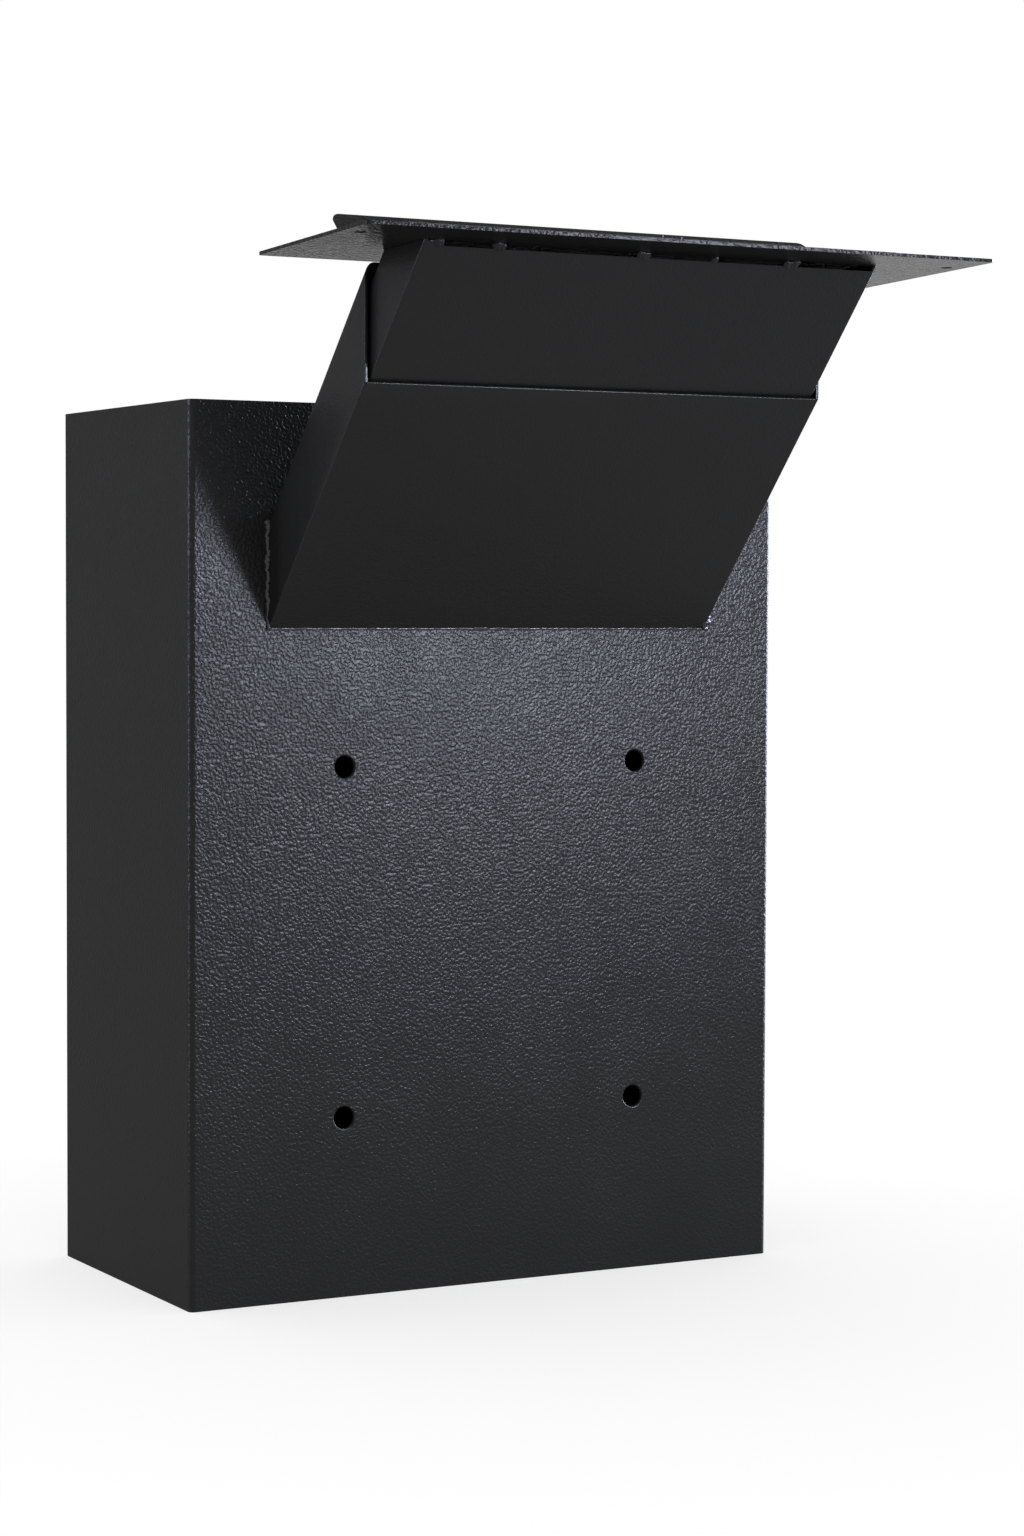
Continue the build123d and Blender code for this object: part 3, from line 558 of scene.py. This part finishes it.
def group(name, takes, gives):
    """An empty shader node group with named inputs (name, kind, default) and outputs (name, kind)."""
    tree = bpy.data.node_groups.new(name, "ShaderNodeTree")
    for label, kind, default in takes:
        socket = tree.interface.new_socket(label, in_out="INPUT", socket_type="NodeSocket" + kind)
        if default is not None:
            socket.default_value = default
    for label, kind in gives:
        tree.interface.new_socket(label, in_out="OUTPUT", socket_type="NodeSocket" + kind)
    start = put(tree, "NodeGroupInput", (-6, 0)).outputs
    end = put(tree, "NodeGroupOutput", (6, 0)).inputs
    return tree, start, end


def use(tree, name, place, inputs):
    """Places a copy of a node group and returns its outputs."""
    return put(tree, "ShaderNodeGroup", place, inputs, node_tree=bpy.data.node_groups[name]).outputs


def wrinkle_group():
    """Wrinkled powder coat: rounded islands of two sizes, parted by narrow valleys.

    Height is a noise, pushed about by a second noise and spread between floor and top by a smooth step, plus a finer
    noise. Patch is a slow noise that thins the wrinkles here and there.
    """
    tree, start, end = group(
        "Powder Wrinkle",
        [("Vector", "Vector", None), ("Cells per Metre", "Float", 400.0), ("Fine Share", "Float", 0.3)],
        [("Height", "Float"), ("Patch", "Float")],
    )
    push, finer = 0.9, 2.3  # how far the second noise pushes, in wrinkles, and how much finer the fine noise is
    where, cells = start["Vector"], start["Cells per Metre"]
    warp = noise(tree, (-4, 2), where, cells, 1.0)["Color"]
    bent = put(tree, "ShaderNodeVectorMath", (-3, 2), {0: warp, 1: (0.5, 0.5, 0.5)}, operation="SUBTRACT").outputs[0]
    reach = maths(tree, "DIVIDE", (-4, 3), push, cells)
    scaled = put(tree, "ShaderNodeVectorMath", (-2, 2), {0: bent, "Scale": reach}, operation="SCALE").outputs[0]
    moved = put(tree, "ShaderNodeVectorMath", (-1, 2), {0: where, 1: scaled}).outputs[0]
    broad = noise(tree, (0, 2), moved, cells, 0.6, 0.45)["Fac"]
    fine = noise(tree, (0, 0), moved, maths(tree, "MULTIPLY", (-1, 0), cells, finer), 1.0)["Fac"]
    shaped = mapped(tree, (1, 2), broad, 0.3, 0.66, interpolation="SMOOTHSTEP")
    both = maths(tree, "MULTIPLY_ADD", (2, 1), fine, start["Fine Share"], shaped)
    patch = noise(tree, (1, -2), where, 26.0, 2.0)["Fac"]
    thin = mapped(tree, (2, -2), patch, 0.3, 0.7, 0.8, 1.1)
    tree.links.new(maths(tree, "MULTIPLY", (3, 1), both, thin), end["Height"])
    tree.links.new(patch, end["Patch"])


def tone_group():
    """Slow and speckled changes of a colour: its brightness follows a cloudy noise and a fine grain."""
    takes = [("Vector", "Vector", None), ("Color", "Color", (0.02, 0.02, 0.02, 1))]
    takes += [("Clouds", "Float", 0.08), ("Specks", "Float", 0.1)]
    tree, start, end = group("Coat Tone", takes, [("Color", "Color")])
    level = 1.0
    for row, label, scale, detail in ((1, "Clouds", 14.0, 3.0), (-1, "Specks", 2600.0, 1.0)):
        grain = noise(tree, (-4, row), start["Vector"], scale, detail)["Fac"]
        centred = maths(tree, "SUBTRACT", (-3, row), grain, 0.5)
        level = maths(tree, "MULTIPLY_ADD", (-1.5 - row / 2, row), centred, start[label], level)
    toned = put(tree, "ShaderNodeVectorMath", (0, 0), {0: start["Color"], "Scale": level}, operation="SCALE")
    tree.links.new(toned.outputs[0], end["Color"])


def drawn_group():
    """Drawn or rolled metal: a noise stretched far along one direction, for height and for roughness."""
    tree, start, end = group(
        "Drawn Metal",
        [("Vector", "Vector", None), ("Stretch", "Vector", (1.0, 1.0, 0.02)), ("Lines per Metre", "Float", 4000.0)],
        [("Height", "Float"), ("Smear", "Float")],
    )
    where = start["Vector"]
    along = put(tree, "ShaderNodeVectorMath", (-4, 0), {0: where, 1: start["Stretch"]}, operation="MULTIPLY")
    lines = noise(tree, (-3, 0), along.outputs[0], start["Lines per Metre"], 3.0)["Fac"]
    cloud = noise(tree, (-3, -2), where, 90.0, 3.0)["Fac"]
    tree.links.new(lines, end["Height"])
    tree.links.new(maths(tree, "MULTIPLY", (-1, -1), lines, cloud), end["Smear"])


# ---------------------------------------------------------------- materials


def blank(name):
    """A new material's nodes: its tree, a Principled shader, the output's surface and the object coordinates."""
    material = bpy.data.materials.new(name)
    material.use_nodes = True
    tree = material.node_tree
    tree.nodes.clear()
    shader = put(tree, "ShaderNodeBsdfPrincipled", (6, 0))
    out = put(tree, "ShaderNodeOutputMaterial", (8, 0), {"Surface": shader.outputs[0]}, is_active_output=True)
    where = put(tree, "ShaderNodeTexCoord", (-4, 0)).outputs["Object"]
    return tree, shader, out.inputs["Surface"], where


def coat_material(name, color, wrinkle, depth, roughness, gloss_share, film=0.6, lumps=0.0, settle=None):
    """Powder coat: near black paint, with a small glossy share that catches the light on its wrinkles.

    film is the roughness of the paint itself, which shows where it is seen along the surface. lumps adds the swell
    of a weld beneath. settle gives two heights between which the wrinkles grow from a third to full depth.
    """
    look = bpy.context.scene.drop_box_finish
    tree, shader, surface, where = blank(name)
    grain = use(tree, "Powder Wrinkle", (-2, -1), {"Vector": where, "Cells per Metre": 1 / wrinkle, "Fine Share": 0.25})
    toned = use(tree, "Coat Tone", (-2, 1), {"Vector": where, "Color": (*color, 1)})
    height = grain["Height"]
    if settle:
        up = put(tree, "ShaderNodeSeparateXYZ", (-2, -5), {0: where}).outputs["Z"]
        grown = mapped(tree, (-1, -5), up, *settle, SETTLED, 1.0, interpolation="SMOOTHSTEP")
        height = maths(tree, "MULTIPLY", (0, -4), height, grown)
    if lumps:
        swell = noise(tree, (-2, -3), where, 620.0, 2.0)["Fac"]
        height = maths(tree, "MULTIPLY_ADD", (0, -2), swell, lumps, height)
    bump = put(tree, "ShaderNodeBump", (3, -2), {"Height": height, "Strength": 1.0, "Distance": depth}).outputs[0]
    stray = (roughness - ROUGHNESS_STRAY, roughness + ROUGHNESS_STRAY)
    rough = mapped(tree, (2, 0), grain["Patch"], 0.25, 0.75, *stray)
    tree.links.new(toned["Color"], shader.inputs["Base Color"])
    tree.links.new(bump, shader.inputs["Normal"])
    shader.inputs["Roughness"].default_value = film
    shader.inputs["Specular IOR Level"].default_value = PAINT_SPECULAR
    shine = {"Base Color": (*look.glint, 1), "Metallic": 1.0, "Roughness": rough, "Normal": bump}
    gloss = put(tree, "ShaderNodeBsdfPrincipled", (6, -3), shine).outputs[0]
    mix = put(tree, "ShaderNodeMixShader", (7, -1), {0: gloss_share, 1: shader.outputs[0], 2: gloss})
    tree.links.new(mix.outputs[0], surface)


def metal_material(name, color, roughness, stretch, lines, depth, metallic=1.0):
    """Bare or plated metal: drawing lines in the height and the roughness, and a cloudy tone."""
    tree, shader, _, where = blank(name)
    drawn = use(tree, "Drawn Metal", (-2, -1), {"Vector": where, "Stretch": stretch, "Lines per Metre": lines})
    toned = use(tree, "Coat Tone", (-2, 1), {"Vector": where, "Color": (*color, 1), "Clouds": 0.12, "Specks": 0.06})
    rough = mapped(tree, (2, 0), drawn["Smear"], 0.1, 0.45, roughness * 0.75, roughness * 1.35)
    bump = put(tree, "ShaderNodeBump", (3, -2), {"Height": drawn["Height"], "Strength": 1.0, "Distance": depth})
    tree.links.new(toned["Color"], shader.inputs["Base Color"])
    tree.links.new(rough, shader.inputs["Roughness"])
    tree.links.new(bump.outputs[0], shader.inputs["Normal"])
    shader.inputs["Metallic"].default_value = metallic


def make_finishes():
    """Builds the node groups and every finish once. The materials are found by name afterwards."""
    look = bpy.context.scene.drop_box_finish
    wrinkle_group()
    tone_group()
    drawn_group()
    broad = (look.coat, look.wrinkle, look.wrinkle_depth, look.gloss)
    fine = (look.chute_coat, look.grain, look.grain_depth, look.gloss)
    plate = (look.chute_coat, look.plate_grain, look.plate_grain_depth, look.gloss)
    coat_material("Box coat", *broad, look.gloss_share, settle=SETTLE_HEIGHTS)
    coat_material("Panel coat", *broad, look.panel_gloss)
    coat_material("Chute coat", *fine, look.chute_gloss)
    coat_material("Plate coat", *plate, look.plate_gloss, film=0.22)
    coat_material("Coat over weld", *fine, look.bead_gloss, lumps=1.6)
    # name, colour, mean roughness, stretch of the lines, lines per metre and their depth in metres
    for metal in (
        ("Hinge steel", look.steel, 0.5, (1.0, 1.0, 0.03), 2600.0, 0.00002),
        ("Pin steel", look.pin, 0.3, (1.0, 1.0, 0.05), 3000.0, 0.00001),
        ("Zinc plate", look.zinc, 0.28, (1.0, 1.0, 1.0), 1500.0, 0.00001),
        ("Chrome plate", look.chrome, 0.08, (1.0, 0.05, 1.0), 3000.0, 0.000002),
        ("Nickel plate", look.nickel, 0.2, (1.0, 0.1, 1.0), 3500.0, 0.000006),
        ("Stamped brass", look.brass, 0.25, (1.0, 1.0, 0.2), 3000.0, 0.00001),
    ):
        metal_material(*metal)
    metal_material("Black rubber", look.rubber, 0.75, (1.0, 1.0, 1.0), 1800.0, 0.00003, metallic=0.0)


def finish(name):
    """The finished material of that name."""
    return bpy.data.materials[name]


# ---------------------------------------------------------------- operators


class DROPBOX_OT_finishes(bpy.types.Operator):
    """Make the node groups and the finishes of every piece"""

    bl_idname = "drop_box.finishes"
    bl_label = "Finishes"

    def execute(self, context):
        make_finishes()
        return {"FINISHED"}


class DROPBOX_OT_shell(bpy.types.Operator):
    """Round the shell's edges and coat it"""

    bl_idname = "drop_box.shell"
    bl_label = "Shell"

    def execute(self, context):
        bolts = next(m for m in frame["record"]["mounts"] if m["name"] == "wall_bolts")["dims"]
        across, up = bolts["spacing_x_mm"] / 2000, bolts["spacing_y_mm"] / 2000
        holes = [(x, z) for x in (-across, across) for z in (-up, up)]
        rolled = context.scene.drop_box_finish.rolled
        dressed("shell_wrap", finish("Box coat"), 3, holes, bolts["hole_r_mm"] / 1000, rolled)
        for node in ("top_panel", "bottom_panel"):
            dressed(node, finish("Panel coat"))
        dressed("door_stops", finish("Box coat"))
        dressed("door_bumpers", finish("Black rubber"))
        return {"FINISHED"}


class DROPBOX_OT_door(bpy.types.Operator):
    """Round the door's edges and coat it and its stiffener"""

    bl_idname = "drop_box.door"
    bl_label = "Door"

    def execute(self, context):
        for node in ("door_panel", "door_stiffener"):
            dressed(node, finish("Box coat"))
        return {"FINISHED"}


class DROPBOX_OT_hinges(bpy.types.Operator):
    """Finish the piano hinge of the door"""

    bl_idname = "drop_box.hinges"
    bl_label = "Door hinge"

    def execute(self, context):
        dressed("frame_hinge_leaf", finish("Hinge steel"))
        dressed("door_hinge_leaf", finish("Hinge steel"))
        dressed("door_hinge_pin", finish("Pin steel"))
        return {"FINISHED"}


class DROPBOX_OT_lock(bpy.types.Operator):
    """Finish the cam lock and its key"""

    bl_idname = "drop_box.lock"
    bl_label = "Lock and key"

    def execute(self, context):
        for node, metal in (
            ("lock_barrel", "Chrome plate"),
            ("lock_washer", "Zinc plate"),
            ("lock_nut", "Zinc plate"),
            ("lock_plug", "Nickel plate"),
            ("lock_wafers", "Stamped brass"),
            ("lock_cam", "Zinc plate"),
            ("cam_screw", "Zinc plate"),
            ("lock_key", "Nickel plate"),
        ):
            dressed(node, finish(metal))
        return {"FINISHED"}


class DROPBOX_OT_chutes(bpy.types.Operator):
    """Build the fixed chute and the telescoping tube, each as one folded and ground skin"""

    bl_idname = "drop_box.chutes"
    bl_label = "Chutes"

    def execute(self, context):
        c = context.scene.drop_box_chute
        coat = finish("Chute coat")
        cos, sin = math.cos(c.angle), math.sin(c.angle)
        height = c.rise * cos
        foot = np.array([0.0, c.foot])
        upright = upright_cut(c.reach, foot, c.angle)

        def mouth(loop):
            """The upright cut, and over the thickness of the floor a cut square to the sheet from its outer face."""
            floor = (loop[:, 1] < -height / 2 + c.sheet + SLACK) & (np.abs(loop[:, 0]) < c.width / 2 - c.sheet)
            return upright(loop) - np.where(floor, (loop[:, 1] + height / 2) * math.tan(c.angle), 0.0)

        points = tube_points(
            (c.width, height, c.fold, c.ground), c.sheet, foot, c.angle,
            upright_cut(0.0, foot, c.angle), mouth, c.rim, (c.sheet - c.width / 2, c.width / 2 - c.sheet),
        )
        piece("outer_chute", mesh_of("outer_chute", points, wrap_rows=True), "box", "chute_coat", coat,
              "outer_chute_channel", "outer_chute_floor")

        drop = c.play - c.seat
        tube_foot = foot + drop * np.array([sin, -cos])
        tube_width = c.width - 2 * (c.sheet + c.play)
        tube_height = height - 2 * (c.sheet + c.play)
        middle = foot + c.plate_distance * np.array([cos, sin])
        normal = np.array([-math.sin(c.plate_tilt), math.cos(c.plate_tilt)])
        slant = normal @ np.array([cos, sin])
        stop = tube_width / 2 - c.sheet

        def mitre(loop):
            """Distance along the slope to the plate's underside, less the stitch gap along the floor."""
            reach = (normal @ (middle - tube_foot) - loop[:, 1] * (normal @ np.array([-sin, cos]))) / slant
            floor = (loop[:, 1] < -tube_height / 2 + c.sheet + SLACK) & (np.abs(loop[:, 0]) < stop)
            return reach - np.where(floor, c.stitch_gap / slant, 0.0)

        points = tube_points(
            (tube_width, tube_height, c.tube_fold, c.ground), c.sheet, tube_foot, c.angle,
            lambda loop: np.full(len(loop), c.tube_start), mitre, c.rim / 2, (-stop, stop),
        )
        piece("inner_chute", mesh_of("inner_chute", points, wrap_rows=True), "inner_chute", "chute_coat", coat,
              "inner_chute_channel", "inner_chute_floor")
        return {"FINISHED"}


class DROPBOX_OT_welds(bpy.types.Operator):
    """Build the weld beads round the chute's foot and the stitches under the plate"""

    bl_idname = "drop_box.welds"
    bl_label = "Welds"

    def execute(self, context):
        c = context.scene.drop_box_chute
        w = context.scene.drop_box_welds
        for name, beads, body, coat, node in (
            ("chute_weld_beads", foot_beads(c, w), "box", "Coat over weld", "chute_welds"),
            ("stitch_weld_beads", stitch_beads(c, w), "inner_chute", "Chute coat", "stitch_welds"),
        ):
            mesh = joined(name, [mesh_of("bead", points, caps=True) for points in beads])
            piece(name, mesh, body, "painted_weld", finish(coat), node, smooth_below=BEAD_SHARP)
        return {"FINISHED"}


class DROPBOX_OT_plate(bpy.types.Operator):
    """Round the edges of the face plate, the flap and its hinge, and coat them"""

    bl_idname = "drop_box.plate"
    bl_label = "Face plate and flap"

    def execute(self, context):
        dressed("face_plate", finish("Plate coat"), 3)
        for node in ("flap", "flap_hinge_leaf"):
            dressed(node, finish("Plate coat"))
        dressed("flap_hinge_pin", finish("Pin steel"))
        return {"FINISHED"}


class DROPBOX_OT_studio(bpy.types.Operator):
    """Set up the pale floor, the lamps, the surroundings and the camera"""

    bl_idname = "drop_box.studio"
    bl_label = "Studio"

    def execute(self, context):
        s = context.scene.drop_box_studio
        scene = context.scene
        camera = bpy.data.objects.new("Camera", bpy.data.cameras.new("Camera"))
        scene.collection.objects.link(camera)
        camera.location = s.eye
        camera.rotation_euler = Euler(s.aim)
        camera.data.lens = s.lens
        camera.data.clip_start, camera.data.clip_end = 0.01, 60.0
        scene.camera = camera

        corners = [(x * FLOOR_HALF, y * FLOOR_HALF, CAD_LOW[2]) for x, y in ((-1, -1), (1, -1), (1, 1), (-1, 1))]
        mesh = bpy.data.meshes.new("floor")
        mesh.from_pydata(corners, [], [(0, 1, 2, 3)])
        floor = bpy.data.objects.new("floor", mesh)
        scene.collection.objects.link(floor)
        mesh.materials.append(self.floor_material(s))

        cool, left_power = s.sheen_tint, s.rim_power / RIM_RATIO
        # name, place, target, size, power, colour and whether it lights surfaces as well as shining in them
        for lamp in (
            ("Sheen lamp", (-0.4, 0.888, 0.31), (0.0, 0.0, 0.05), (0.16, 0.44), s.sheen_power, cool, False),
            ("Right rim lamp", (-1.5, -0.1, 0.5), (-0.15, 0.0, 0.1), (1.0, 1.3), s.rim_power, cool, False),
            ("Left rim lamp", (1.6, -0.45, 0.15), (0.15, 0.0, 0.0), (0.25, 1.4), left_power, cool, False),
            ("Side lamp", (2.3, 0.5, 0.9), (0.15, -0.08, 0.05), (1.2, 1.2), s.side_power, WHITE, True),
            ("Top lamp", (0.2, 0.2, 2.4), (0.0, 0.0, 0.1), (1.8, 1.8), s.top_power, WHITE, True),
        ):
            self.lamp(*lamp)
        self.surroundings(scene, s)
        scene.view_settings.view_transform = "Standard"
        return {"FINISHED"}

    def lamp(self, name, place, target, size, watts, color, diffuse):
        """A soft rectangular lamp at place, turned to target and unseen by the camera.

        Without diffuse it shines in glossy surfaces and lights nothing.
        """
        data = bpy.data.lights.new(name, "AREA")
        data.shape = "RECTANGLE"
        data.size, data.size_y = size
        data.energy = watts
        data.color = color
        made = bpy.data.objects.new(name, data)
        bpy.context.scene.collection.objects.link(made)
        made.location = place
        toward = np.array(target) - np.array(place)
        flat = math.hypot(toward[0], toward[1])
        made.rotation_euler = Euler((math.atan2(flat, -toward[2]), 0.0, math.atan2(-toward[0], toward[1])))
        made.visible_camera = False
        made.visible_diffuse = diffuse

    def floor_material(self, s):
        """Pale floor that shows white to the camera and in reflections, and still keeps the object's shadow."""
        material = bpy.data.materials.new("Floor")
        material.use_nodes = True
        tree = material.node_tree
        tree.nodes.clear()
        shown = shown_rays(tree, (-4, 2))
        plain = put(tree, "ShaderNodeBsdfDiffuse", (-1, 0), {"Color": (s.floor_tone,) * 3 + (1,)}).outputs[0]
        white = put(tree, "ShaderNodeEmission", (-1, -1), {"Color": (*WHITE, 1), "Strength": s.floor_fill}).outputs[0]
        both = put(tree, "ShaderNodeAddShader", (0, -1), {0: plain, 1: white}).outputs[0]
        mix = put(tree, "ShaderNodeMixShader", (1, 0), {0: shown, 1: plain, 2: both})
        put(tree, "ShaderNodeOutputMaterial", (2, 0), {"Surface": mix.outputs[0]})
        return material

    def surroundings(self, scene, s):
        """White all round for the camera and for reflections, and a softer plain light for everything else."""
        world = bpy.data.worlds.new("Studio")
        scene.world = world
        world.use_nodes = True
        tree = world.node_tree
        tree.nodes.clear()
        shown = shown_rays(tree, (-4, 0))
        soft = put(tree, "ShaderNodeBackground", (-1, 1), {"Color": (*WHITE, 1), "Strength": s.ambient}).outputs[0]
        white = put(tree, "ShaderNodeBackground", (-1, -1), {"Color": (*WHITE, 1), "Strength": 1.0}).outputs[0]
        mix = put(tree, "ShaderNodeMixShader", (0, 0), {0: shown, 1: soft, 2: white})
        put(tree, "ShaderNodeOutputWorld", (1, 0), {"Surface": mix.outputs[0]})


class DROPBOX_PT_panel(bpy.types.Panel):
    """Sizes, finishes and building steps of the key drop box"""

    bl_idname = "DROPBOX_PT_panel"
    bl_label = "Key Drop Box"
    bl_space_type = "VIEW_3D"
    bl_region_type = "UI"
    bl_category = "Drop Box"

    def draw(self, context):
        for operator in BUILD_ORDER:
            self.layout.operator(operator.bl_idname)
        for name, kind in GROUPS.items():
            box = self.layout.box()
            box.label(text=kind.__doc__)
            settings = getattr(context.scene, name)
            for field in kind.__annotations__:
                box.prop(settings, field)


GROUPS = {
    "drop_box_chute": DropBoxChute,
    "drop_box_welds": DropBoxWelds,
    "drop_box_finish": DropBoxFinish,
    "drop_box_studio": DropBoxStudio,
}
BUILD_ORDER = (
    DROPBOX_OT_finishes,
    DROPBOX_OT_shell,
    DROPBOX_OT_door,
    DROPBOX_OT_hinges,
    DROPBOX_OT_lock,
    DROPBOX_OT_chutes,
    DROPBOX_OT_welds,
    DROPBOX_OT_plate,
    DROPBOX_OT_studio,
)


def register():
    """Registers the settings, the operators and the panel."""
    for name, kind in GROUPS.items():
        bpy.utils.register_class(kind)
        setattr(bpy.types.Scene, name, PointerProperty(type=kind))
    for kind in (*BUILD_ORDER, DROPBOX_PT_panel):
        bpy.utils.register_class(kind)


def unregister():
    """Takes the settings, the operators and the panel away again."""
    for kind in (DROPBOX_PT_panel, *reversed(BUILD_ORDER)):
        bpy.utils.unregister_class(kind)
    for name, kind in GROUPS.items():
        delattr(bpy.types.Scene, name)
        bpy.utils.unregister_class(kind)


def main():
    """Builds everything in order."""
    register()
    for operator in BUILD_ORDER:
        family, name = operator.bl_idname.split(".")
        getattr(getattr(bpy.ops, family), name)()


if __name__ == "__main__":
    main()
